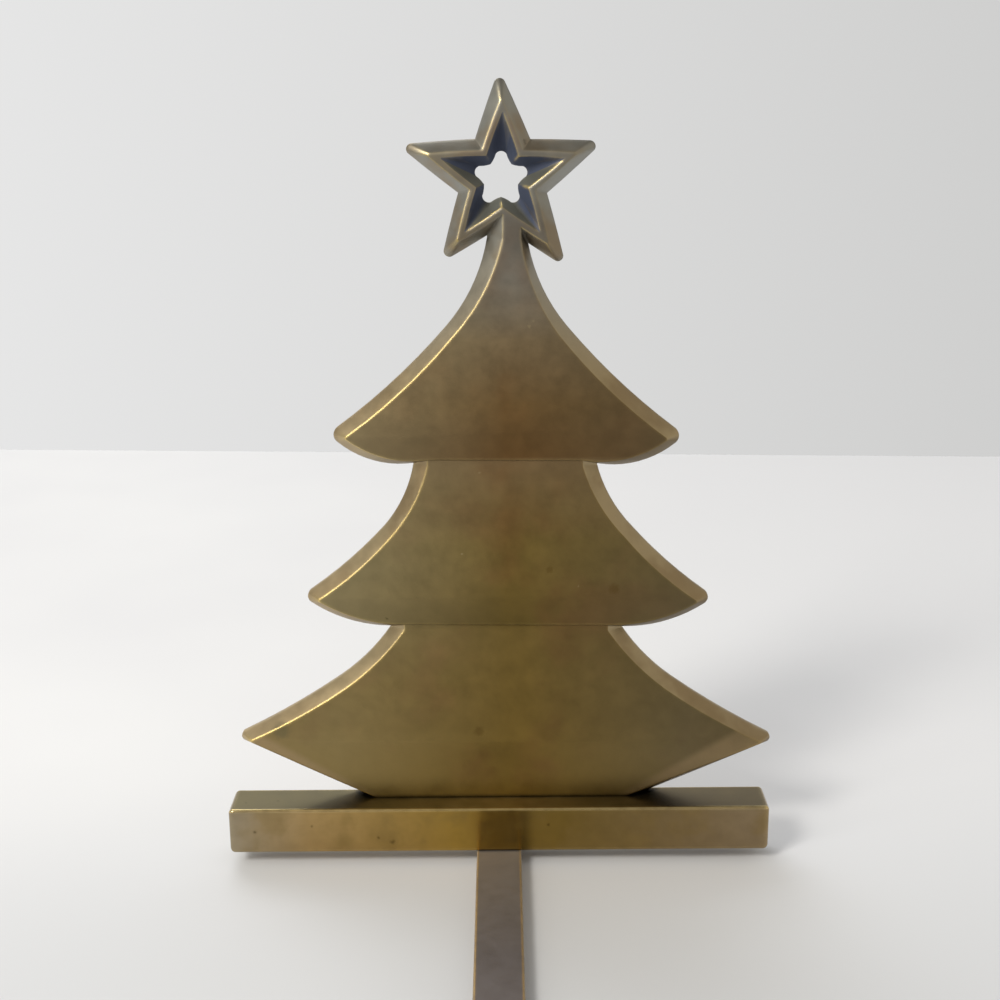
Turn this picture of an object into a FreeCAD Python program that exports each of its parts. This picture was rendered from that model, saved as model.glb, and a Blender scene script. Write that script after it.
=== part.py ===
# Mantel stocking holder in brass: a cast tree and star on a square bar, with a flat arm
# that lies on the mantel and ends in a hook over its edge.
# Millimetres, +Z up. The tree's face looks along -Y. The origin is on the underside of the
# arm, in line with the front face of the bar and midway along it.
import FreeCAD
import Part
import math
import os

Vector = FreeCAD.Vector

# Base bar, square stock with eased corners
bar_length = 115.8
bar_side = 10.0
bar_edge = 0.5            # worn long edges
bar_end_edge = 1.1        # rounder edges at both ends

# Arm and hook, one flat strip bent cold
arm_width = 9.525
arm_thickness = 3.175
arm_reach = 85.0          # bar's front face to the drop's inner face
arm_bend = 3.0            # inside radius where the arm turns down
hook_drop = 33.0          # seat to the hook's lowest point
hook_bowl = 6.0           # inside radius of the hook
hook_lip = 8.0            # straight part of the upturned lip
hook_flare = 12.0         # degrees that the lip leans outwards
hook_end_flat = 0.4       # width left flat between the lip's two rounded corners
arm_edge = 0.25           # flat taken off the strip's long edges

# Tree casting: flat back, bevelled front, three tiers with no trunk
tree_shift = 1.5          # foot's middle, as fixed, a little right of the bar's
tree_lean = 0.65          # degrees that it leans to the right, as fixed
plate_thickness = 4.4
bevel_depth = 3.2         # front part of the thickness that the bevels take up
tier_setback = 0.5        # how far each tier's face falls back from its foot to its top
tier_tuck = 4.0           # hidden top of a tier inside the tier above

# Each tier: height on show, half-widths at its shoulder and tip, then its outline. The slope
# runs from the shoulder to a knee in one curve and on to the tip in a flatter one.
bottom_height = 38.2
bottom_shoulder = 24.4
bottom_reach = 58.7
bottom_tip_lift = 12.8    # tip above the tier's underside
bottom_knee_out = 11.1    # knee out from the shoulder
bottom_knee_down = 11.6   # knee below the shoulder
bottom_curl = 0.75        # how far the upper curve bows in from its chord
bottom_skirt = 0.57       # how far the lower one does
bottom_belly = 0.1        # how far the underside bulges down from its chord

middle_height = 35.6
middle_shoulder = 18.9
middle_reach = 43.5
middle_tip_lift = 6.6
middle_knee_out = 6.9
middle_knee_down = 13.6
middle_curl = 1.0
middle_skirt = 0.74
middle_belly = 1.4
middle_shift = 0.3        # middle tier's middle from the tree's
middle_skew = -0.7        # its shoulders' middle from that

top_height = 46.0
neck_half = 4.0
top_reach = 36.6
top_tip_lift = 6.0
top_knee_out = 8.2
top_knee_down = 17.7
top_curl = 1.35
top_skirt = 1.0
top_belly = 1.8
top_shift = -0.2          # top tier's middle from the tree's

foot_right = 30.3         # ends of the casting on the bar, from the tree's middle
foot_left = 31.5
foot_spare = 0.6          # length below the bar's top that is cut off square with the bar
tip_cut = 2.4             # length taken off each slope to round a tip

# Bevel, as widths seen from the front
shoulder_bevel = 3.6
neck_bevel = 2.7
knee_bevel = 2.3
tip_bevel = 3.7
under_bevel = 1.4
foot_right_bevel = 5.1
foot_left_bevel = 2.9
neck_face_shift = 1.1     # the narrow face of the neck sits right of the middle
ridge_tip_cut = 0.6

# Star: raised rim round a hollow that runs down to a small open star
star_rise = 11.5          # star's middle above the top of the neck
star_shift = -1.15        # star's middle from the tree's
star_tip = 21.0
star_notch = 9.2
rim_tip = 15.4
rim_notch = 6.7
hollow_tip = 12.9
hollow_notch = 5.4
opening_tip = 6.2
opening_notch = 3.5
opening_drop = 0.2        # open star sits a little low in the rim
opening_shift = -0.3      # and a little left
opening_land = 0.9        # straight wall at the back of the open star
star_tip_cut = 2.6
rim_tip_cut = 0.7
hollow_tip_cut = 0.5
opening_tip_cut = 1.7
star_bulge = 0.1          # how far each arm's sides bow out
star_growth = (-0.4, -0.1, 0.5, -0.5, 0.4)   # each arm's extra length, clockwise from the top
star_turn = (2.2, 1.9, 0.2, -0.5, 0.9)       # degrees that each arm leans anticlockwise

# Screws, put in from beneath
screw_play = 0.05         # clearance round threads and heads
arm_screw_radius = 1.5
arm_screw_length = 9.0
arm_screw_head = 2.8
arm_screw_cone = 1.4
arm_screw_sink = 0.15     # head below the strip's face
tree_screw_radius = 1.0
tree_screw_head = 1.6
tree_screw_head_height = 1.2
tree_screw_sink = 0.3     # head below the bar's underside
tree_screw_bite = 7.0     # length inside the casting
tree_screw_spread = 15.0  # either side of the tree's middle
tree_screw_from_back = 2.5
slot_width = 0.6
slot_depth = 0.5
hole_run_out = 0.8        # blind holes go this much past the screw

# Levels and planes that follow from the sizes above
bar_bottom = arm_thickness
bar_top = bar_bottom + bar_side
tree_back = bar_side
tree_front = tree_back - plate_thickness
land_front = tree_front + bevel_depth
rim_front = tree_front + tier_setback
middle_underside = bar_top + bottom_height
top_underside = middle_underside + middle_height
neck_top = top_underside + top_height
star_middle = neck_top + star_rise
neck_tuck = star_rise - (rim_notch + hollow_notch) / 2
past = 2.0                # cutting shapes run this far past the metal


def point(x, y, z):
    return Vector(x, y, z)


def arc(start, middle, end):
    return Part.Arc(start, middle, end).toShape()


def line(start, end):
    return Part.LineSegment(start, end).toShape()


def bowed(start, end, bow):
    """Middle of an arc from start to end that bows to the right of its travel in X and Z."""
    along = end - start
    side = Vector(along.z, 0, -along.x).normalize()
    return (start + end) * 0.5 + side * bow


def end_direction(start, end, bow):
    """Direction from the arc's end back along the arc, for an arc as bowed gives it."""
    back = start - end
    turn = 2 * math.atan2(2 * bow, back.Length)
    back.normalize()
    c = math.cos(turn)
    s = math.sin(turn)
    return Vector(back.x * c - back.z * s, 0, back.x * s + back.z * c)


def mirrored(p):
    return Vector(-p.x, p.y, p.z)


def tip_points(tip, from_above, from_below, cut):
    """Start, nose and end of the round that takes the point off a tip."""
    half_angle = from_above.getAngle(from_below) / 2
    inward = (from_above + from_below).normalize()
    reach_in = cut * (1 - math.sin(half_angle)) / math.cos(half_angle)
    return tip + from_above * cut, tip + inward * reach_in, tip + from_below * cut


def tier_side(knots, curves, foot, belly, cut):
    """Right-hand arcs of one tier, from its shoulder round the tip to its underside."""
    shoulder, knee, tip = knots
    curl, skirt = curves
    above = end_direction(knee, tip, skirt)
    below = end_direction(foot, tip, belly)
    start, nose, end = tip_points(tip, above, below, cut)
    return [
        (shoulder, bowed(shoulder, knee, curl), knee),
        (knee, bowed(knee, tip, skirt), start),
        (start, nose, end),
        (end, bowed(foot, end, belly), foot),
    ]


def tier_outline(right, left, top_level):
    """Closed wire from two sets of right-hand arcs, the second one turned to the left."""
    top_right = point(right[0][0].x, right[0][0].y, top_level)
    top_left = mirrored(point(left[0][0].x, left[0][0].y, top_level))
    edges = [line(top_right, right[0][0])]
    for start, middle, end in right:
        edges.append(arc(start, middle, end))
    edges.append(line(right[-1][2], mirrored(left[-1][2])))
    for start, middle, end in reversed(left):
        edges.append(arc(mirrored(end), mirrored(middle), mirrored(start)))
    edges.append(line(mirrored(left[0][0]), top_left))
    edges.append(line(top_left, top_right))
    return Part.Wire(edges)


def on_plane(p, y):
    return point(p.x, y, p.z)


def pillow(foot_level, shoulder_level, top_level):
    """Everything behind a tier's gently curved face, upright at its foot."""
    height = shoulder_level - foot_level
    radius = (height ** 2 + tier_setback ** 2) / (2 * tier_setback)
    half_turn = math.asin(height / radius) / 2
    wide = bottom_reach + past
    foot = point(-wide, tree_front, foot_level)
    middle = point(-wide, tree_front + radius * (1 - math.cos(half_turn)),
                   foot_level + radius * math.sin(half_turn))
    top = point(-wide, rim_front, shoulder_level)
    low = point(-wide, tree_front, foot_level - past)
    high = point(-wide, rim_front, top_level + past)
    back_high = point(-wide, tree_back + past, high.z)
    back_low = point(-wide, tree_back + past, low.z)
    profile = Part.Wire([
        line(low, foot),
        arc(foot, middle, top),
        line(top, high),
        line(high, back_high),
        line(back_high, back_low),
        line(back_low, low),
    ])
    return Part.Face(profile).extrude(Vector(2 * wide, 0, 0))


def tier(halves, curves, top_bevel, tuck=tier_tuck, face_shift=0):
    """One tier: upright land at the back, bevel up to a ridge, curved face in front.

    halves are the right half and the left one, both drawn on the right, each with its
    shoulder, knee, tip, foot, ridge foot and belly.
    """
    shoulder_level = halves[0][0].z
    foot_level = halves[0][3].z
    top_level = shoulder_level + tuck
    sections = []
    for y in (tree_back, land_front):
        sides = []
        for shoulder, knee, tip, foot, ridge_foot, belly in halves:
            knots = [on_plane(p, y) for p in (shoulder, knee, tip)]
            sides.append(tier_side(knots, curves, on_plane(foot, y), belly, tip_cut))
        sections.append(tier_outline(sides[0], sides[1], top_level))

    ridge_sides = []
    for half, shift in zip(halves, (face_shift, -face_shift)):
        shoulder, knee, tip, foot, ridge_foot, belly = half
        slope = tip - shoulder
        inward = Vector(slope.z, 0, -slope.x).normalize()
        tip_middle = end_direction(knee, tip, curves[1]) + end_direction(foot, tip, belly)
        ridge = [shoulder + Vector(shift - top_bevel, 0, 0),
                 knee + inward * knee_bevel,
                 tip + tip_middle.normalize() * tip_bevel]
        ridge_sides.append(tier_side([on_plane(p, tree_front) for p in ridge], curves,
                                     on_plane(ridge_foot, tree_front), belly, ridge_tip_cut))
    sections.append(tier_outline(ridge_sides[0], ridge_sides[1], top_level))
    body = Part.makeLoft(sections, True, True)
    return body.common(pillow(foot_level, shoulder_level, top_level))


def bottom_tier():
    shoulder = point(bottom_shoulder, 0, middle_underside)
    knee = shoulder + Vector(bottom_knee_out, 0, -bottom_knee_down)
    tip = point(bottom_reach, 0, bar_top + bottom_tip_lift)
    halves = []
    for foot_end, bevel in ((foot_right, foot_right_bevel), (foot_left, foot_left_bevel)):
        spread = (bottom_reach - foot_end) / bottom_tip_lift
        foot = point(foot_end - foot_spare * spread, 0, bar_top - foot_spare)
        halves.append((shoulder, knee, tip, foot, foot + Vector(-bevel, 0, 0), bottom_belly))
    return tier(halves, (bottom_curl, bottom_skirt), shoulder_bevel)


def middle_tier():
    knee = point(middle_shoulder + middle_knee_out, 0, top_underside - middle_knee_down)
    tip = point(middle_reach, 0, middle_underside + middle_tip_lift)
    foot = point(bottom_shoulder, 0, middle_underside)
    ridge_foot = foot + Vector(-shoulder_bevel, 0, under_bevel)
    halves = []
    for skew in (middle_skew, -middle_skew):
        shoulder = point(middle_shoulder + skew, 0, top_underside)
        halves.append((shoulder, knee, tip, foot, ridge_foot, middle_belly))
    body = tier(halves, (middle_curl, middle_skirt), shoulder_bevel)
    return body.translated(Vector(middle_shift, 0, 0))


def top_tier():
    neck = point(neck_half, 0, neck_top)
    knee = neck + Vector(top_knee_out, 0, -top_knee_down)
    tip = point(top_reach, 0, top_underside + top_tip_lift)
    foot = point(middle_shoulder, 0, top_underside)
    ridge_foot = foot + Vector(-shoulder_bevel, 0, under_bevel)
    half = (neck, knee, tip, foot, ridge_foot, top_belly)
    body = tier([half, half], (top_curl, top_skirt), neck_bevel, neck_tuck, neck_face_shift)
    return body.translated(Vector(top_shift, 0, 0))


def star_outline(middle, tip_radius, notch_radius, cut, unevenness=0):
    """Five-pointed star with rounded tips and bowed sides, one tip upwards.

    unevenness is how much of each arm's own growth and lean the outline takes, from 0 to 1.
    """
    step = 360 / 5

    def spoke(radius, degrees_from_top):
        turn = math.radians(90 - degrees_from_top)
        return middle + Vector(radius * math.cos(turn), 0, radius * math.sin(turn))

    edges = []
    for number, (growth, turn) in enumerate(zip(star_growth, star_turn)):
        before = spoke(notch_radius, (number - 0.5) * step)
        after = spoke(notch_radius, (number + 0.5) * step)
        tip = spoke(tip_radius + unevenness * growth, number * step - unevenness * turn)
        to_before = end_direction(before, tip, -star_bulge)
        to_after = end_direction(after, tip, star_bulge)
        start, nose, end = tip_points(tip, to_before, to_after, cut)
        edges += [arc(before, bowed(before, tip, -star_bulge), start),
                  arc(start, nose, end),
                  arc(end, bowed(tip, after, -star_bulge), after)]
    return Part.Wire(edges)


def star():
    """Star with a raised rim, and the hollow inside it down to an open star at the back."""

    def middle(y):
        return point(star_shift, y, star_middle)

    def open_middle(y):
        return point(star_shift + opening_shift, y, star_middle - opening_drop)

    body = Part.makeLoft([
        star_outline(middle(tree_back), star_tip, star_notch, star_tip_cut, 1),
        star_outline(middle(land_front), star_tip, star_notch, star_tip_cut, 1),
        star_outline(middle(rim_front), rim_tip, rim_notch, rim_tip_cut, 0.5),
    ], True, True)
    opening = (opening_tip, opening_notch, opening_tip_cut)
    hollow = Part.makeLoft([
        star_outline(middle(rim_front - past), hollow_tip, hollow_notch, hollow_tip_cut),
        star_outline(middle(rim_front), hollow_tip, hollow_notch, hollow_tip_cut),
        star_outline(open_middle(tree_back - opening_land), *opening),
        star_outline(open_middle(tree_back + past), *opening),
    ], True, True)
    return body, hollow


def tree_screw_places():
    y = tree_back - tree_screw_from_back
    return [point(tree_shift + side * tree_screw_spread, y, 0) for side in (-1, 1)]


def rod(place, low, high, radius):
    return Part.makeCylinder(radius, high - low, point(place.x, place.y, low))


def tree_and_star():
    """The casting: three tiers, the neck and the star in one piece."""
    rim, hollow = star()
    casting = bottom_tier().fuse([middle_tier(), top_tier(), rim]).cut(hollow)
    casting = casting.removeSplitter()
    casting.rotate(point(0, 0, bar_top), Vector(0, 1, 0), tree_lean)
    casting.translate(Vector(tree_shift, 0, 0))
    below_foot = Part.makeBox(2 * bottom_reach, tree_back + 2 * past, past,
                              point(-bottom_reach, -past, bar_top - past))
    holes = [rod(p, bar_top - past, bar_top + tree_screw_bite + hole_run_out,
                 tree_screw_radius + screw_play) for p in tree_screw_places()]
    return casting.cut([below_foot] + holes)


def arm_screw_place():
    return point(0, bar_side / 2, 0)


def base_bar():
    """Square bar with a tapped hole for the arm and stepped holes for the tree."""
    bar = Part.makeBox(bar_length, bar_side, bar_side, point(-bar_length / 2, 0, bar_bottom))
    end_edges = [e for e in bar.Edges if e.Length < bar_length / 2]
    bar = bar.makeFillet(bar_end_edge, end_edges)
    long_edges = [e for e in bar.Edges if e.Length > bar_length / 2]
    bar = bar.makeFillet(bar_edge, long_edges)
    holes = [rod(arm_screw_place(), bar_bottom - past,
                 arm_screw_sink + arm_screw_length + hole_run_out,
                 arm_screw_radius + screw_play)]
    head_room = tree_screw_sink + tree_screw_head_height + screw_play
    for place in tree_screw_places():
        holes.append(rod(place, bar_bottom - past, bar_top + past,
                         tree_screw_radius + screw_play))
        holes.append(rod(place, bar_bottom - past, bar_bottom + head_room,
                         tree_screw_head + 2 * screw_play))
    return bar.cut(holes)


def bent_strip(start, heading, steps, thickness):
    """Face of a strip seen from its edge: straight runs (length, 0) and bends (radius, turn).

    start and the runs follow the strip's middle line in Y and Z, heading and turns are in
    degrees, and a bend's radius is the one inside it.
    """
    near_edges = []
    far_edges = []
    place = start
    half = thickness / 2

    def normal(angle):
        return Vector(0, -math.sin(math.radians(angle)), math.cos(math.radians(angle)))

    first = place + normal(heading) * half
    first_far = place - normal(heading) * half
    for size, turn in steps:
        if turn == 0:
            ahead = Vector(0, math.cos(math.radians(heading)), math.sin(math.radians(heading)))
            following = place + ahead * size
            side = normal(heading) * half
            near_edges.append(line(place + side, following + side))
            far_edges.append(line(place - side, following - side))
            place = following
            continue
        way = math.copysign(1, turn)
        radius = (size + half) * way
        centre = place + normal(heading) * radius

        def on_bend(share, offset):
            return centre - normal(heading + turn * share) * (radius - offset)

        near_edges.append(arc(on_bend(0, half), on_bend(0.5, half), on_bend(1, half)))
        far_edges.append(arc(on_bend(0, -half), on_bend(0.5, -half), on_bend(1, -half)))
        heading = heading + turn
        place = centre - normal(heading) * radius
    last = place + normal(heading) * half
    last_far = place - normal(heading) * half
    outline = near_edges + [line(last, last_far)] + far_edges[::-1] + [line(first_far, first)]
    return Part.Face(Part.Wire(Part.__sortEdges__(outline))), place


def across_thickness(edge, end):
    """True for the two edges that cross the strip's thickness at its end."""
    away = edge.CenterOfMass - end
    return math.hypot(away.y, away.z) < arm_thickness / 4


def hook_arm():
    """Flat arm under the bar, turned down at the mantel's edge and up into a hook."""
    arm_run = bar_side + arm_reach - arm_bend
    drop_run = hook_drop - arm_bend - arm_thickness - hook_bowl
    profile, end = bent_strip(
        point(-arm_width / 2, bar_side, arm_thickness / 2), 180.0,
        [(arm_run, 0), (arm_bend, 90), (drop_run, 0), (hook_bowl, hook_flare - 180),
         (hook_lip, 0)],
        arm_thickness)
    strip = profile.extrude(Vector(arm_width, 0, 0))
    lip_corners = [e for e in strip.Edges if across_thickness(e, end)]
    corner = min((arm_width - hook_end_flat) / 2, hook_lip - hook_end_flat)
    strip = strip.makeFillet(corner, lip_corners)
    side_faces = sorted(strip.Faces, key=lambda f: abs(f.CenterOfMass.x))[-2:]
    long_edges = [e for f in side_faces for e in f.Edges]
    strip = strip.makeChamfer(arm_edge, long_edges)
    place = arm_screw_place()
    through = rod(place, -past, arm_thickness + past, arm_screw_radius + screw_play)
    cone = Part.makeCone(arm_screw_head + screw_play, arm_screw_radius + screw_play,
                         arm_screw_cone, point(place.x, place.y, arm_screw_sink))
    mouth = rod(place, -past, arm_screw_sink, arm_screw_head + screw_play)
    return strip.cut([through, cone, mouth])


def driver_slot(place, low, radius):
    return Part.makeBox(2 * radius + past, slot_width, slot_depth + past,
                        point(place.x - radius - past / 2, place.y - slot_width / 2,
                              low - past))


def arm_screw():
    """Countersunk slotted screw that holds the arm to the bar."""
    place = arm_screw_place()
    head = Part.makeCone(arm_screw_head, arm_screw_radius, arm_screw_cone,
                         point(place.x, place.y, arm_screw_sink))
    shank = rod(place, arm_screw_sink + arm_screw_cone, arm_screw_sink + arm_screw_length,
                arm_screw_radius)
    return head.fuse(shank).cut(driver_slot(place, arm_screw_sink, arm_screw_head))


def tree_screws():
    """Two slotted screws through the bar into the foot of the tree."""
    screws = []
    low = bar_bottom + tree_screw_sink
    for place in tree_screw_places():
        head = rod(place, low, low + tree_screw_head_height, tree_screw_head)
        shank = rod(place, low + tree_screw_head_height, bar_top + tree_screw_bite,
                    tree_screw_radius)
        screws.append(head.fuse(shank).cut(driver_slot(place, low, tree_screw_head)))
    return Part.Compound(screws)


NODES = {
    "tree_and_star": tree_and_star,
    "base_bar": base_bar,
    "hook_arm": hook_arm,
    "arm_screw": arm_screw,
    "tree_screws": tree_screws,
}

os.makedirs("parts", exist_ok=True)
for name, make in NODES.items():
    shape = make()
    shape.exportStep(os.path.join("parts", name + ".step"))
    box = shape.BoundBox
    print(name, "solids", len(shape.Solids), "valid", shape.isValid(),
          "volume", round(shape.Volume, 1),
          "box", [round(v, 2) for v in (box.XMin, box.YMin, box.ZMin, box.XMax, box.YMax, box.ZMax)])
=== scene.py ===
# %% [markdown]
# # A brass stocking holder, from bare solids to a finished picture
# The holder is a cast brass tree with a hollow star, fixed to a square bar. A flat arm runs
# under the bar, lies on the mantel and ends in a hook over its edge. The solids come from
# the workshop model, so this lesson is about surfaces: soft edges, an old brown skin on
# brass, rubbed ridges, light and a camera. Lengths are metres, as Blender likes them, and
# the value mm turns real millimetres into metres.

# %% The frame: the solids, loaded in their own places
import math

import bpy
from mathutils import Matrix, Quaternion, Vector


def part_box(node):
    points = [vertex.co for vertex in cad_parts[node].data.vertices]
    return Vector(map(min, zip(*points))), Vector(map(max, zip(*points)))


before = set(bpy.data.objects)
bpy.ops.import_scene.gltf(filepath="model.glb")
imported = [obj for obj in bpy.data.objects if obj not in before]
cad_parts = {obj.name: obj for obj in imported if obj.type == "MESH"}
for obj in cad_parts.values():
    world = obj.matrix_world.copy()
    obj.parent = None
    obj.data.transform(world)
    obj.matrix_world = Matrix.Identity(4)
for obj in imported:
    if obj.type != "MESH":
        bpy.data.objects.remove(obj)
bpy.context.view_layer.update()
mm = 0.001
print("solids:", sorted(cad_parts))

# %% [markdown]
# ## Two helpers
# Paint and patina are easiest to pick as screen colours, but Blender's shaders work with
# linear light, so one function turns a hex colour into linear values. Every shader graph
# below is built with one other small function, which adds a node, gives it its settings
# and fills its sockets with a number, a colour or a link.

# %% Colour and node helpers


def linear(hex_colour):
    """An sRGB hex colour as the linear red, green, blue and alpha that shaders use."""
    channels = [int(hex_colour[i:i + 2], 16) / 255 for i in (1, 3, 5)]
    return [c / 12.92 if c <= 0.04045 else ((c + 0.055) / 1.055) ** 2.4 for c in channels] + [1]


def add(tree, kind, inputs=None, stops=None, **settings):
    """Adds one node with its settings, its colour stops if it is a ramp, and its links."""
    node = tree.nodes.new(kind)
    for name, value in settings.items():
        setattr(node, name, value)
    for place, (position, colour) in enumerate(stops or []):
        if place > 1:
            node.color_ramp.elements.new(position)
        node.color_ramp.elements[place].position = position
        node.color_ramp.elements[place].color = linear(colour)
    for name, value in (inputs or {}).items():
        if isinstance(value, bpy.types.NodeSocket):
            tree.links.new(value, node.inputs[name])
        else:
            node.inputs[name].default_value = value
    return node


# %% [markdown]
# ## Where things are on the holder
# The skin on this brass isn't the same everywhere, so the materials need a few places:
# how high the tree stands, where the star's middle is and where the lowest tier's slanting
# underside runs. They are read from the solids' own boxes, apart from a few sizes of the
# casting: where the star's middle is under its tip, how far right of the bar's middle it
# stands, how wide the foot is and how steeply the underside rises from it.

# %% Places that the finishes need
tree_low, tree_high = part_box("tree_and_star")
bar_low, bar_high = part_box("base_bar")
star_below_top = 19.0 * mm
star_to_right = 1.8 * mm
star_middle = Vector((star_to_right, 0, tree_high[2] - star_below_top))
foot_half_width = 30 * mm
hem_rise = 0.595
hem_level = bar_high[2] - foot_half_width * hem_rise
print("tree from", round(tree_low[2], 4), "to", round(tree_high[2], 4), "star at", star_middle)

# %% [markdown]
# ## How old brass is put together
# Bright brass is a yellow metal mirror. Left alone for decades it grows a thin brown-olive
# skin, which is still metallic but darker and less sharp. Hands rub that skin off where an
# edge stands proud, and grime gathers where a cloth can't reach; the same darkening of the
# creases is also painted shade. Each of these is one short step below, and each step takes
# a colour and gives back a changed one. They work in the solid's own coordinates, so
# nothing slides when the camera moves.
#
# A painted picture of the patina could follow one view exactly, but it would smear on the
# sides and back. Noise in three dimensions wraps every side with no seams.

# %% Steps that change the colour


def clouded(tree, place, film, other, cloud_mm, strength=1.0):
    """A film that turns to another colour in soft clouds of cloud_mm."""
    clouds = add(tree, "ShaderNodeTexNoise", {
        "Vector": place, "Scale": 1 / (cloud_mm * mm), "Detail": 3.0, "Roughness": 0.55})
    share = add(tree, "ShaderNodeMapRange", {
        "Value": clouds.outputs["Fac"], "From Min": 0.44, "From Max": 0.66, "To Max": strength},
        interpolation_type="SMOOTHSTEP")
    return add(tree, "ShaderNodeMix", {
        0: share.outputs["Result"], 6: film, 7: linear(other)}, data_type="RGBA").outputs[2]


def mottled(tree, place, film, mottle_mm, depth):
    """Fine light and dark mottling, the uneven thickness of the skin."""
    mottle = add(tree, "ShaderNodeTexNoise", {
        "Vector": place, "Scale": 1 / (mottle_mm * mm), "Detail": 6.0, "Roughness": 0.62})
    shade = add(tree, "ShaderNodeMapRange", {
        "Value": mottle.outputs["Fac"], "From Min": 0.3, "From Max": 0.7,
        "To Min": 1 - depth, "To Max": 1 + depth})
    film = add(tree, "ShaderNodeMix", {
        0: 1.0, 6: film, 7: shade.outputs["Result"]}, data_type="RGBA", blend_type="MULTIPLY")
    return film.outputs[2], mottle.outputs["Fac"]


def grimed_and_shaded(tree, film, grime_and_shade, reach, amount):
    """Grime and painted shade in creases and seams, where the surface sees little of the room."""
    # Painted shade: occlusion darkens creases and seams towards the grime colour.
    open_sky = add(tree, "ShaderNodeAmbientOcclusion", {"Distance": reach}, samples=12)
    share = add(tree, "ShaderNodeMapRange", {
        "Value": open_sky.outputs["AO"], "From Min": 0.85, "From Max": 0.5, "To Max": amount})
    return add(tree, "ShaderNodeMix", {
        0: share.outputs["Result"], 6: film, 7: linear(grime_and_shade)}, data_type="RGBA").outputs[2]


def rubbed(tree, patchy, edge_mm, amount):
    """Share of bare metal: all on edges that stand proud, broken up by the mottling."""
    inside = add(tree, "ShaderNodeAmbientOcclusion", {"Distance": edge_mm * mm},
                 samples=12, inside=True, only_local=True)
    edge = add(tree, "ShaderNodeMapRange", {
        "Value": inside.outputs["AO"], "From Min": 0.97, "From Max": 0.76})
    breaks = add(tree, "ShaderNodeMapRange", {
        "Value": patchy, "From Min": 0.36, "From Max": 0.56, "To Min": 0.65, "To Max": 1.0})
    share = add(tree, "ShaderNodeMath", {
        0: edge.outputs["Result"], 1: breaks.outputs["Result"]}, operation="MULTIPLY")
    return add(tree, "ShaderNodeMath", {0: share.outputs[0], 1: amount},
               operation="MULTIPLY").outputs[0]


def pitted(tree, place, film, pit, spots, strength=0.6):
    """Single ragged pits and spots, each a place in millimetres and a radius."""
    ragged = add(tree, "ShaderNodeTexNoise", {"Vector": place, "Scale": 1 / (0.7 * mm)})
    shift = add(tree, "ShaderNodeMapRange", {
        "Value": ragged.outputs["Fac"], "From Min": 0.3, "From Max": 0.7,
        "To Min": -0.2 * mm, "To Max": 0.2 * mm})
    for x, y, z, radius in spots:
        away = add(tree, "ShaderNodeVectorMath", {
            0: place, 1: (x * mm, y * mm, z * mm)}, operation="DISTANCE")
        uneven = add(tree, "ShaderNodeMath", {
            0: away.outputs["Value"], 1: shift.outputs["Result"]})
        share = add(tree, "ShaderNodeMapRange", {
            "Value": uneven.outputs[0], "From Min": radius * mm, "From Max": radius * mm / 3,
            "To Max": strength}, interpolation_type="SMOOTHSTEP")
        film = add(tree, "ShaderNodeMix", {
            0: share.outputs["Result"], 6: film, 7: linear(pit)}, data_type="RGBA").outputs[2]
    return film


# %% [markdown]
# ## The metal under the skin
# Two more steps turn a colour into metal. The relief gives cast or rolled brass its fine
# grain and its slow unevenness, and rounds the shading of an edge, so that a narrow ridge
# catches a line of light. The shader is one Principled node: fully metallic, its default
# IOR, rougher where the skin is thick and sharper where the metal is bare.

# %% Relief and shader of the metal


def metal_relief(tree, place, grain_mm, grain_depth_mm, wave_mm, wave_depth_mm, edge):
    """Bump of the metal: fine grain on slow waves, on edges rounded over the length edge."""
    rounded = add(tree, "ShaderNodeBevel", {"Radius": edge}, samples=8)
    waves = add(tree, "ShaderNodeTexNoise", {
        "Vector": place, "Scale": 1 / (wave_mm * mm), "Detail": 1.0})
    slow = add(tree, "ShaderNodeBump", {
        "Strength": 1.0, "Distance": wave_depth_mm * mm, "Height": waves.outputs["Fac"],
        "Normal": rounded.outputs["Normal"]})
    grain = add(tree, "ShaderNodeTexNoise", {
        "Vector": place, "Scale": 1 / (grain_mm * mm), "Detail": 4.0, "Roughness": 0.6})
    return add(tree, "ShaderNodeBump", {
        "Strength": 1.0, "Distance": grain_depth_mm * mm, "Height": grain.outputs["Fac"],
        "Normal": slow.outputs["Normal"]}).outputs["Normal"]


matt_roughness = 0.85


def metal(tree, film, bare_share, bare, patchy, skin_gloss, bare_gloss, normal,
          metallic=1.0, matt_share=0.0):
    """The metal shader: skin colour, bare colour on the rubbed share, and their roughness."""
    colour = add(tree, "ShaderNodeMix", {
        0: bare_share, 6: film, 7: linear(bare)}, data_type="RGBA")
    uneven = add(tree, "ShaderNodeMapRange", {
        "Value": patchy, "From Min": 0.3, "From Max": 0.7,
        "To Min": skin_gloss - 0.05, "To Max": skin_gloss + 0.06})
    skin = add(tree, "ShaderNodeMix", {
        0: matt_share, 2: uneven.outputs["Result"], 3: matt_roughness})
    gloss = add(tree, "ShaderNodeMix", {0: bare_share, 2: skin.outputs[0], 3: bare_gloss})
    shader = add(tree, "ShaderNodeBsdfPrincipled", {
        "Base Color": colour.outputs[2], "Metallic": metallic, "Roughness": gloss.outputs[0],
        "Normal": normal})
    add(tree, "ShaderNodeOutputMaterial", {"Surface": shader.outputs["BSDF"]})


def empty_material(name):
    """A new material with no nodes but the solid's own coordinates, in metres."""
    material = bpy.data.materials.new(name)
    material.use_nodes = True
    material.node_tree.nodes.clear()
    place = add(material.node_tree, "ShaderNodeTexCoord").outputs["Object"]
    return material, material.node_tree, place


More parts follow.
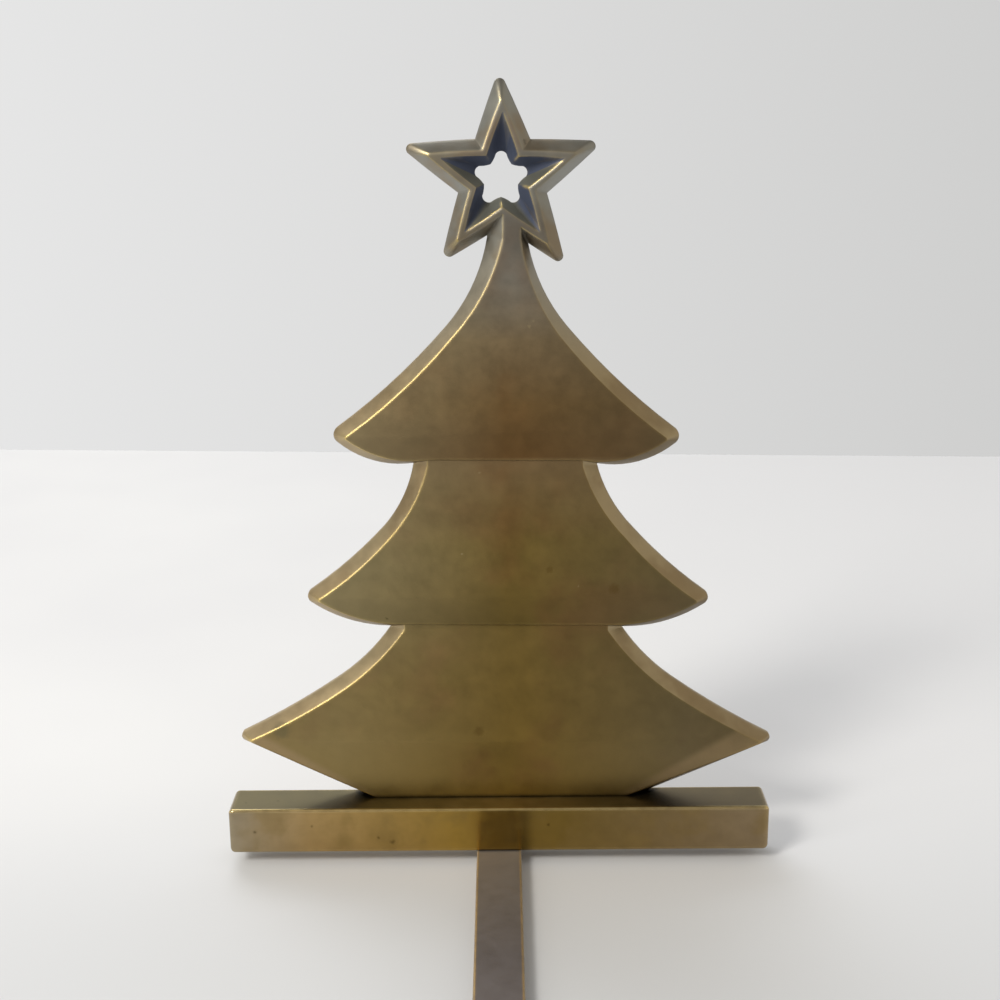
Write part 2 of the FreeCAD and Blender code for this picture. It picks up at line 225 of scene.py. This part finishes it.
# %% [markdown]
# ## The casting: its faces
# The tree was cast in sand. Its faces were linished smooth and then lacquered, and under
# that the brass went brown: greyer up at the neck, red-brown at the foot of the top tier
# and olive on the two below. One ramp along the height gives those colours, and part of
# it is painted: the fall from grey to brown down each tier is partly a painted reflection
# of the room, and a darker band low on the top tier is painted shade. The faces are also
# painted paler to the left, as painted light, and darker to the right, as painted shade,
# and they are paler along the slanting hem of the lowest tier.

# %% Skin of the faces


def face_skin(tree, place, parts, height):
    """Face colour: by height, in clouds, painted light left, painted shade right, paler hem."""
    # The height ramp is partly patina, partly a painted reflection of the room and painted shade.
    face = add(tree, "ShaderNodeValToRGB", {"Fac": height}, stops=[
        (0.0, "#937a3f"), (0.14, "#866f3b"), (0.295, "#8b7542"), (0.302, "#796638"),
        (0.36, "#85703e"), (0.44, "#8c7743"), (0.57, "#957d5a"), (0.577, "#82643f"),
        (0.615, "#7d623f"), (0.66, "#846a45"), (0.76, "#8e7c5f"),
        (0.86, "#928f86"), (0.93, "#867f75"), (0.98, "#98968f")]).outputs["Color"]
    face = clouded(tree, place, face, "#85603c", cloud_mm=22, strength=0.5)

    # Painted light: the faces turn paler towards the left.
    to_left = add(tree, "ShaderNodeMapRange", {
        "Value": parts["X"], "From Min": 2 * mm, "From Max": -34 * mm})
    above_tier_3 = add(tree, "ShaderNodeMapRange", {
        "Value": height, "From Min": 0.2, "From Max": 0.4,
        "To Min": 0.3, "To Max": 0.75})
    painted_light_left = add(tree, "ShaderNodeMath", {
        0: to_left.outputs["Result"], 1: above_tier_3.outputs["Result"]}, operation="MULTIPLY")
    face = add(tree, "ShaderNodeMix", {
        0: painted_light_left.outputs[0], 6: face, 7: linear("#b0a582")}, data_type="RGBA").outputs[2]
    # Painted shade: the faces turn darker towards the right.
    painted_shade_right = add(tree, "ShaderNodeMapRange", {
        "Value": parts["X"], "From Min": 6 * mm, "From Max": 40 * mm, "To Max": 0.75})
    face = add(tree, "ShaderNodeMix", {
        0: painted_shade_right.outputs["Result"], 6: face, 7: linear("#746a52")},
        data_type="RGBA").outputs[2]

    outwards = add(tree, "ShaderNodeMath", {0: parts["X"]}, operation="ABSOLUTE")
    above_hem = add(tree, "ShaderNodeMath", {
        0: outwards.outputs[0], 1: -hem_rise, 2: parts["Z"]}, operation="MULTIPLY_ADD")
    more_to_left = add(tree, "ShaderNodeMapRange", {
        "Value": parts["X"], "From Min": 30 * mm, "From Max": -30 * mm,
        "To Min": 0.4, "To Max": 0.7})
    hem = add(tree, "ShaderNodeMapRange", {
        "Value": above_hem.outputs[0], "From Min": hem_level + 3.6 * mm,
        "From Max": hem_level + 1.2 * mm, "To Max": more_to_left.outputs["Result"]},
        interpolation_type="SMOOTHSTEP")
    return add(tree, "ShaderNodeMix", {
        0: hem.outputs["Result"], 6: face, 7: linear("#b09873")}, data_type="RGBA").outputs[2]


# %% [markdown]
# ## The casting: its slopes
# The slopes round each tier were left as they came from the sand, so their skin is paler
# and greyer than the faces'. On the far left they are painted lighter, as painted light.
# The star's upward sides are painted darker, as painted shade, and so are the sides of the
# tiers that look down and to the right, away from the light. Which side a slope is on is
# told from the direction it looks in.

# %% Skin of the slopes


def slope_skin(tree, place, parts, height, looks, outward):
    """Colour of the slopes: by height, in clouds, with painted light and shade by direction."""
    slope = add(tree, "ShaderNodeValToRGB", {"Fac": height}, stops=[
        (0.7, "#ab9a79"), (0.92, "#97968f")]).outputs["Color"]
    slope = clouded(tree, place, slope, "#8d7858", cloud_mm=12, strength=0.6)
    # Painted light: slopes turn paler towards the far left.
    painted_light_far_left = add(tree, "ShaderNodeMapRange", {
        "Value": parts["X"], "From Min": -20 * mm, "From Max": -45 * mm, "To Max": 0.4})
    slope = add(tree, "ShaderNodeMix", {
        0: painted_light_far_left.outputs["Result"], 6: slope, 7: linear("#c9b58f")},
        data_type="RGBA").outputs[2]
    # Painted shade: the star's upward-looking sides are darkened.
    up_high = add(tree, "ShaderNodeMath", {
        0: height, 1: outward["Z"]}, operation="MULTIPLY")
    painted_shade_upward = add(tree, "ShaderNodeMapRange", {
        "Value": up_high.outputs[0], "From Min": 0.45, "From Max": 0.8, "To Max": 0.5})
    slope = add(tree, "ShaderNodeMix", {
        0: painted_shade_upward.outputs["Result"], 6: slope, 7: linear("#5f594b")},
        data_type="RGBA").outputs[2]
    # Painted shade: slopes that look down and to the right are darkened.
    down_right = add(tree, "ShaderNodeVectorMath", {
        0: looks, 1: (0.6, 0, -0.8)}, operation="DOT_PRODUCT")
    painted_shade_lee = add(tree, "ShaderNodeMapRange", {
        "Value": down_right.outputs["Value"], "From Min": 0.35, "From Max": 0.7})
    below_star = add(tree, "ShaderNodeMapRange", {
        "Value": height, "From Min": 0.9, "From Max": 0.85, "To Max": 0.7})
    painted_shade_down_right = add(tree, "ShaderNodeMath", {
        0: painted_shade_lee.outputs["Result"], 1: below_star.outputs["Result"]}, operation="MULTIPLY")
    return add(tree, "ShaderNodeMix", {
        0: painted_shade_down_right.outputs[0], 6: slope, 7: linear("#5b4c33")}, data_type="RGBA").outputs[2]


# %% [markdown]
# ## The casting: the star's hollow
# In the star's hollow nobody ever rubbed, and the skin there grew thick, matt and dark;
# its blue cast is a painted sheen of the sky. The hollow is where the surface near the
# star looks towards the star's middle. Its floor, where it looks up, is painted lighter
# and greyer, as painted light from above.

# %% The star's hollow


def star_hollow(tree, place, looks, outward):
    """Share that is the star's hollow, and its skin with painted sheen and painted light."""
    from_star = add(tree, "ShaderNodeVectorMath", {
        0: place, 1: star_middle}, operation="SUBTRACT").outputs["Vector"]
    flat_from_star = add(tree, "ShaderNodeVectorMath", {
        0: from_star, 1: (1, 0, 1)}, operation="MULTIPLY").outputs["Vector"]
    reach = add(tree, "ShaderNodeVectorMath", {0: flat_from_star}, operation="LENGTH")
    spoke = add(tree, "ShaderNodeVectorMath", {0: flat_from_star}, operation="NORMALIZE")
    towards = add(tree, "ShaderNodeVectorMath", {
        0: spoke.outputs["Vector"], 1: looks}, operation="DOT_PRODUCT")
    inward = add(tree, "ShaderNodeMapRange", {
        "Value": towards.outputs["Value"], "From Min": -0.25, "From Max": -0.4})
    near = add(tree, "ShaderNodeMapRange", {
        "Value": reach.outputs["Value"], "From Min": 14.0 * mm, "From Max": 13.4 * mm})
    hollow = add(tree, "ShaderNodeMath", {
        0: inward.outputs["Result"], 1: near.outputs["Result"]}, operation="MULTIPLY")
    # Painted light: the hollow's upward floor is lighter; its blue is a painted sky sheen.
    upward = add(tree, "ShaderNodeMapRange", {
        "Value": outward["Z"], "From Min": 0.3, "From Max": 0.6})
    hollow_skin_and_painted_light = add(tree, "ShaderNodeMix", {
        0: upward.outputs["Result"], 6: linear("#656d82"), 7: linear("#7c7d76")},
        data_type="RGBA")
    return hollow.outputs[0], hollow_skin_and_painted_light.outputs[2]


# %% [markdown]
# ## The casting, put together
# A face looks straight out and a slope doesn't, so the direction says which skin shows.
# Over that come grime and painted shade at the foot and in the star's creases, the hollow,
# and single pits, spots and nicks. The ridges are rubbed bare, most where they stand in
# front. Where they look left the bare pale brass is a painted highlight; the ridges on the
# right keep their skin.

# %% Patinated cast brass


def patinated_cast_brass():
    material, tree, place = empty_material("patinated_cast_brass")
    parts = add(tree, "ShaderNodeSeparateXYZ", {0: place}).outputs
    height = add(tree, "ShaderNodeMapRange", {
        "Value": parts["Z"], "From Min": bar_high[2], "From Max": star_middle.z}
        ).outputs["Result"]
    looks = add(tree, "ShaderNodeNewGeometry").outputs["Normal"]
    outward = add(tree, "ShaderNodeSeparateXYZ", {0: looks}).outputs
    is_slope = add(tree, "ShaderNodeMapRange", {
        "Value": outward["Y"], "From Min": -0.985, "From Max": -0.9})
    film = add(tree, "ShaderNodeMix", {
        0: is_slope.outputs["Result"], 6: face_skin(tree, place, parts, height),
        7: slope_skin(tree, place, parts, height, looks, outward)},
        data_type="RGBA").outputs[2]

    # Grime and painted shade at the tree's foot and in the star's creases.
    at_foot = add(tree, "ShaderNodeMapRange", {
        "Value": parts["Z"], "From Min": bar_high[2] + 2 * mm, "From Max": bar_high[2] + 1 * mm,
        "To Max": 0.9})
    at_star = add(tree, "ShaderNodeMapRange", {
        "Value": parts["Z"], "From Min": star_middle.z - 16 * mm,
        "From Max": star_middle.z - 12 * mm, "To Max": 0.8})
    creased = add(tree, "ShaderNodeMath", {
        0: at_foot.outputs["Result"], 1: at_star.outputs["Result"]}, operation="MAXIMUM")
    grime_and_shade_reach = add(tree, "ShaderNodeMapRange", {
        "Value": height, "To Min": 1.3 * mm, "To Max": 2.6 * mm})
    film = grimed_and_shaded(tree, film, "#2f2a20", grime_and_shade_reach.outputs["Result"], creased.outputs[0])
    hollow, hollow_skin_and_painted_light = star_hollow(tree, place, looks, outward)
    film = add(tree, "ShaderNodeMix", {
        0: hollow, 6: film, 7: hollow_skin_and_painted_light}, data_type="RGBA").outputs[2]

    film, patchy = mottled(tree, place, film, mottle_mm=4, depth=0.07)
    film = pitted(tree, place, film, "#6a5229", [
        (24.5, 6.0, 60.5, 1.6), (-4.1, 5.8, 28.6, 1.4), (11.0, 5.8, 64.8, 1.0)], strength=0.4)
    film = pitted(tree, place, film, "#66634f", [(-46.5, 6.0, 29.0, 2.6)], strength=0.45)
    film = pitted(tree, place, film, "#2e2718", [
        (-23.1, 6.0, 54.4, 0.5), (-21.5, 7.0, 52.2, 0.8), (6.6, 7.0, 151.6, 0.9),
        (11.4, 6.4, 119.4, 0.7)])
    film = pitted(tree, place, film, "#c4b48a", [
        (-3.2, 5.8, 85.7, 0.4), (-7.2, 5.8, 68.4, 0.3), (16.9, 5.8, 61.2, 0.35),
        (6.9, 6.2, 115.5, 0.6), (7.6, 6.2, 116.6, 0.5), (1.3, 6.2, 119.3, 0.45)], strength=0.35)
    # Painted highlight: edges that look left get much more bare pale brass.
    painted_highlight_left = add(tree, "ShaderNodeMapRange", {
        "Value": outward["X"], "From Min": 0.0, "From Max": -0.2, "To Min": 0.12, "To Max": 1.0})
    in_front = add(tree, "ShaderNodeMapRange", {
        "Value": parts["Y"], "From Min": 8.2 * mm, "From Max": 7.4 * mm, "To Min": 0.1})
    wear_and_painted_highlight = add(tree, "ShaderNodeMath", {
        0: painted_highlight_left.outputs["Result"], 1: in_front.outputs["Result"]}, operation="MULTIPLY")
    bare = rubbed(tree, patchy, edge_mm=0.75, amount=wear_and_painted_highlight.outputs[0])
    edge = add(tree, "ShaderNodeMapRange", {
        "Value": parts["Z"], "From Min": star_middle.z - 24 * mm,
        "From Max": star_middle.z - 12 * mm, "To Min": 0.7 * mm, "To Max": 1.0 * mm})
    normal = metal_relief(tree, place, grain_mm=1.2, grain_depth_mm=0.01, wave_mm=14,
                          wave_depth_mm=0.05, edge=edge.outputs["Result"])
    metal(tree, film, bare, "#f0d585", patchy, skin_gloss=0.42, bare_gloss=0.3,
          normal=normal, matt_share=hollow)
    print("material:", material.name)
    return material


# %% [markdown]
# ## The bar: drawn square stock
# Square bar is pulled through a die, so it starts out smoother than a casting and keeps
# more of a mirror under its skin: the arm in front shows in it as a dark band. Its colour
# is a golden brown, painted lighter and more golden to the left as painted light and
# darkest just right of the arm as painted shade. Its upward edges are worn bare, and their
# pale line along the front-top edge is partly a painted highlight.

# %% Drawn bar brass


def drawn_bar_brass():
    material, tree, place = empty_material("drawn_bar_brass")
    parts = add(tree, "ShaderNodeSeparateXYZ", {0: place}).outputs
    along = add(tree, "ShaderNodeMapRange", {
        "Value": parts["X"], "From Min": bar_low[0], "From Max": bar_high[0]})
    # Painted light to the left and painted shade just right of the arm, over the bar's brown.
    film = add(tree, "ShaderNodeValToRGB", {"Fac": along.outputs["Result"]}, stops=[
        (0.0, "#998d76"), (0.15, "#ab8f5f"), (0.42, "#a58640"), (0.62, "#7f6834"),
        (0.95, "#8f7c5f")]).outputs["Color"]
    film = clouded(tree, place, film, "#8a7344", cloud_mm=9, strength=0.45)

    upward = add(tree, "ShaderNodeSeparateXYZ", {
        0: add(tree, "ShaderNodeNewGeometry").outputs["Normal"]}).outputs["Z"]
    is_top = add(tree, "ShaderNodeMapRange", {"Value": upward, "From Min": 0.8, "From Max": 0.97})
    top_film = add(tree, "ShaderNodeValToRGB", {"Fac": along.outputs["Result"]}, stops=[
        (0.2, "#5f573c"), (0.5, "#b4a682"), (0.8, "#6b5f45")]).outputs["Color"]
    top = add(tree, "ShaderNodeMix", {
        0: is_top.outputs["Result"], 6: film, 7: top_film}, data_type="RGBA")
    film, patchy = mottled(tree, place, top.outputs[2], mottle_mm=3.5, depth=0.09)
    # Grime and painted shade in the bar's seams.
    film = grimed_and_shaded(tree, film, "#2c2416", reach=1.2 * mm, amount=0.7)
    film = pitted(tree, place, film, "#33280f", [
        (-22.8, 0, 5.5, 0.7), (-25.8, 0, 6.5, 0.4), (10.5, 0, 9.3, 0.5), (-52.3, 0, 8.1, 0.5),
        (-40.0, 0, 9.4, 0.35), (-54.5, 3.5, 13.2, 0.4), (-47.8, 4.4, 13.2, 0.4),
        (-51.1, 0.8, 13.2, 0.5)], strength=0.45)
    # Wear and painted highlight: edges that look up get more bare pale brass.
    upper_wear_and_highlight = add(tree, "ShaderNodeMapRange", {
        "Value": upward, "From Min": -0.05, "From Max": 0.15, "To Min": 0.1, "To Max": 0.9})
    bare = rubbed(tree, patchy, edge_mm=0.8, amount=upper_wear_and_highlight.outputs["Result"])
    normal = metal_relief(tree, place, grain_mm=1.6, grain_depth_mm=0.006, wave_mm=10,
                          wave_depth_mm=0.03, edge=0.3 * mm)
    matt_top = add(tree, "ShaderNodeMath", {
        0: is_top.outputs["Result"], 1: 0.23}, operation="MULTIPLY")
    metal(tree, film, bare, "#e6cf96", patchy, skin_gloss=0.19, bare_gloss=0.2, normal=normal,
          matt_share=matt_top.outputs[0])
    print("material:", material.name)
    return material


# %% [markdown]
# ## The arm and the screws
# The arm is rolled strip, bent cold. Its mill skin is satin, and it has gone grey-brown
# with a touch of violet. Near the bar it is painted lighter, as painted light against the
# shade the bar throws, and it turns greyer and darker towards the hook. Only its long
# edges, where it is picked up, are golden. The screws were turned on a lathe and hide
# underneath, where they stay cleaner.

# %% Rolled strip brass and turned screw brass


def plain_aged_brass(name, skin, patch, far_out_painted_shade, bare_colour, cloud_mm, gloss, edge_mm, wear,
                     grain_mm, grain_depth_mm, metallic=1.0):
    material, tree, place = empty_material(name)
    film = clouded(tree, place, linear(skin), patch, cloud_mm)
    # Painted light near the bar, fading to greyer and darker towards the hook.
    painted_shade_towards_hook = add(tree, "ShaderNodeMapRange", {
        "Value": add(tree, "ShaderNodeSeparateXYZ", {0: place}).outputs["Y"],
        "From Min": 0.0, "From Max": -40 * mm})
    film = add(tree, "ShaderNodeMix", {
        0: painted_shade_towards_hook.outputs["Result"], 6: film, 7: linear(far_out_painted_shade)},
        data_type="RGBA").outputs[2]
    film, patchy = mottled(tree, place, film, cloud_mm / 4, depth=0.07)
    # Grime and painted shade in creases and seams.
    film = grimed_and_shaded(tree, film, "#2b251d", reach=1.0 * mm, amount=0.4)
    bare = rubbed(tree, patchy, edge_mm, wear)
    normal = metal_relief(tree, place, grain_mm, grain_depth_mm, wave_mm=9,
                          wave_depth_mm=0.02, edge=0.2 * mm)
    metal(tree, film, bare, bare_colour, patchy, gloss, bare_gloss=0.25, normal=normal,
          metallic=metallic)
    print("material:", material.name)
    return material


finishes = {
    "tree_and_star": patinated_cast_brass(),
    "base_bar": drawn_bar_brass(),
    "hook_arm": plain_aged_brass(
        "rolled_strip_brass", "#9b938b", "#918a83", "#777273", "#e0bd78", cloud_mm=14, gloss=0.55,
        edge_mm=0.6, wear=0.8, grain_mm=0.9, grain_depth_mm=0.01, metallic=0.6),
}
turned = plain_aged_brass(
    "turned_screw_brass", "#a0864c", "#8a6f3c", "#a0864c", "#e3bd6a", cloud_mm=5, gloss=0.3,
    edge_mm=0.3, wear=0.6, grain_mm=0.6, grain_depth_mm=0.004)
finishes["arm_screw"] = turned
finishes["tree_screws"] = turned

# %% [markdown]
# ## Soft edges
# A cast edge is never sharp: the sand rounds it and polishing rounds it more. The solid's
# mesh is made of triangles, so its flat regions are first merged into whole faces, and a
# bevel modifier then rounds every edge that turns by more than a set angle. Modifiers sit
# on top of the mesh, so the solid itself keeps its shape and place. The bar and the arm
# already have their rounds and chamfers in the solid.

# %% Dress every node


def soften(node, radius_mm, angle_deg, segments):
    """Welds the node's mesh, merges its flat parts and rounds its edges, all as modifiers."""
    weld = node.modifiers.new("weld", "WELD")
    weld.merge_threshold = 0.002 * mm
    flat = node.modifiers.new("merge_flat", "DECIMATE")
    flat.decimate_type = "DISSOLVE"
    flat.angle_limit = math.radians(0.6)
    bevel = node.modifiers.new("soft_edges", "BEVEL")
    bevel.width = radius_mm * mm
    bevel.segments = segments
    bevel.limit_method = "ANGLE"
    bevel.angle_limit = math.radians(angle_deg)
    bevel.use_clamp_overlap = True
    bevel.harden_normals = True


for name, finish in finishes.items():
    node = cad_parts[name]
    node.data.materials.clear()
    node.data.materials.append(finish)
    print("dressed", name, "in", finish.name)
soften(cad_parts["tree_and_star"], radius_mm=0.35, angle_deg=22, segments=3)

# %% [markdown]
# ## A shelf to stand on
# The holder only makes sense on a mantel: the arm lies on top and the hook hangs in front.
# A plain pale shelf does that job, in matt card that is painted a little greyer towards the
# front and the right, as painted shade where the light falls off. It is staging, not part
# of the object.

# %% The shelf
shelf_front = -85 * mm
shelf_back_left = 437 * mm
shelf_back_right = 322 * mm
shelf_half = 0.9
shelf_thick = 26 * mm


def shelf():
    corners = [(x, y, z) for z in (-shelf_thick, 0) for x, y in (
        (-shelf_half, shelf_front), (shelf_half, shelf_front),
        (shelf_half, shelf_back_right), (-shelf_half, shelf_back_left))]
    faces = [(3, 2, 1, 0), (4, 5, 6, 7), (0, 1, 5, 4), (1, 2, 6, 5), (2, 3, 7, 6), (3, 0, 4, 7)]
    mesh = bpy.data.meshes.new("shelf")
    mesh.from_pydata(corners, [], faces)
    slab = bpy.data.objects.new("shelf", mesh)
    bpy.context.scene.collection.objects.link(slab)
    paper, tree, place = empty_material("matt_white_card")
    clouds = add(tree, "ShaderNodeTexNoise", {"Vector": place, "Scale": 9.0, "Detail": 2.0})
    tone = add(tree, "ShaderNodeValToRGB", {"Fac": clouds.outputs["Fac"]},
               stops=[(0.3, "#e7e9ee"), (0.7, "#edeff3")])
    at = add(tree, "ShaderNodeSeparateXYZ", {0: place}).outputs
    # Painted shade: the card turns greyer to the right and towards the front.
    painted_shade_rightward = add(tree, "ShaderNodeMapRange", {
        "Value": at["X"], "From Min": -150 * mm, "From Max": 200 * mm},
        interpolation_type="SMOOTHSTEP")
    toned = add(tree, "ShaderNodeMix", {
        0: painted_shade_rightward.outputs["Result"], 6: tone.outputs["Color"], 7: linear("#e6e8ed")},
        data_type="RGBA")
    painted_shade_nearer = add(tree, "ShaderNodeMapRange", {
        "Value": at["Y"], "From Min": 70 * mm, "From Max": -60 * mm, "To Max": 0.9},
        interpolation_type="SMOOTHSTEP")
    toned = add(tree, "ShaderNodeMix", {
        0: painted_shade_nearer.outputs["Result"], 6: toned.outputs[2], 7: linear("#d5d8dd")},
        data_type="RGBA")
    card = add(tree, "ShaderNodeBsdfPrincipled", {
        "Base Color": toned.outputs[2], "Roughness": 0.8, "Specular IOR Level": 0.2})
    add(tree, "ShaderNodeOutputMaterial", {"Surface": card.outputs["BSDF"]})
    mesh.materials.append(paper)
    return slab


shelf()
print("shelf from", shelf_front, "to", shelf_back_right, "and", shelf_back_left)

# %% [markdown]
# ## Light
# Metal shows its surroundings, so the surroundings are the light. Behind the holder is a
# pale wall and in front of it the room, which is what the flat face mirrors. A window high
# in front on the left throws the shadows. Left of it hangs a long narrow lamp, leaning so
# that every rounded ridge on the left, from the neck down to the tips, finds some part of
# it to mirror. That draws the thin bright line down the left-hand slopes and leaves the
# right-hand ones plain. A broad lamp overhead, behind the holder, keeps the shelf pale.

# %% World and lamps
world = bpy.data.worlds.new("pale_room")
bpy.context.scene.world = world
world.use_nodes = True
tree = world.node_tree
tree.nodes.clear()
way = add(tree, "ShaderNodeSeparateXYZ", {
    0: add(tree, "ShaderNodeTexCoord").outputs["Generated"]})
behind = add(tree, "ShaderNodeMapRange", {
    "Value": way.outputs["Y"], "From Min": 0.2, "From Max": 0.7},
    interpolation_type="SMOOTHSTEP")
sideways = add(tree, "ShaderNodeMapRange", {
    "Value": way.outputs["X"], "From Min": -1.0, "From Max": 1.0})
room = add(tree, "ShaderNodeValToRGB", {"Fac": sideways.outputs["Result"]}, stops=[
    (0.1, "#bdbbb5"), (0.4, "#afaca6"), (0.6, "#a5a39f"), (0.9, "#cdc6b9")])
wall = add(tree, "ShaderNodeValToRGB", {"Fac": sideways.outputs["Result"]}, stops=[
    (0.25, "#ececec"), (0.7, "#cccccb")])
around = add(tree, "ShaderNodeMix", {
    0: behind.outputs["Result"], 6: room.outputs["Color"], 7: wall.outputs["Color"]},
    data_type="RGBA")
sky = add(tree, "ShaderNodeBackground", {"Color": around.outputs[2], "Strength": 1.0})
add(tree, "ShaderNodeOutputWorld", {"Surface": sky.outputs["Background"]})

middle = Vector((0, 0, 80 * mm))


def lamp(name, place, width, height, watts, colour="#ffffff", lean_deg=0):
    """An area lamp aimed at the holder, leaning sideways by lean_deg as a clock hand does."""
    light = bpy.data.lights.new(name, "AREA")
    light.shape = "RECTANGLE"
    light.size = width
    light.size_y = height
    light.energy = watts
    light.color = linear(colour)[:3]
    aim = (middle - Vector(place)).to_track_quat("-Z", "Y")
    lean = Quaternion((0, 0, 1), math.radians(-lean_deg))
    holder = bpy.data.objects.new(name, light)
    holder.location = place
    holder.rotation_euler = (aim @ lean).to_euler()
    bpy.context.scene.collection.objects.link(holder)
    print("lamp:", name, "at", place)


daylight = "#fff9ee"
lamp("window", (-0.62, -0.72, 0.82), width=0.3, height=0.3, watts=7.0, colour=daylight)
lamp("window_strip", (-0.84, -0.67, 0.5), width=0.12, height=0.8, watts=2.8, colour=daylight,
     lean_deg=30)
lamp("ceiling", (-0.4, 0.9, 1.1), width=0.8, height=0.8, watts=6.0)

# %% [markdown]
# ## Camera
# The camera stands where it did for the photograph: as high as the star's tip, close in,
# tipped down by some fifteen degrees, and not quite level.

# %% The camera
camera_place = Vector((1.46, -291.4, 161.2)) * mm
pitch_down = math.radians(15.3)
turn_left = math.radians(0.125)
tilt = math.radians(-0.482)
photo_lens = 54.0
full_frame_width = 36.0

view = bpy.data.cameras.new("camera")
view.lens = photo_lens
view.sensor_width = full_frame_width
view.clip_start = 10 * mm
camera = bpy.data.objects.new("camera", view)
aimed = (Matrix.Rotation(turn_left, 4, "Z")
         @ Matrix.Rotation(math.pi / 2 - pitch_down, 4, "X")
         @ Matrix.Rotation(tilt, 4, "Z"))
camera.matrix_world = Matrix.Translation(camera_place) @ aimed
bpy.context.scene.collection.objects.link(camera)
bpy.context.scene.camera = camera
bpy.context.scene.view_settings.view_transform = "Standard"
print("camera at", [round(v, 4) for v in camera_place])
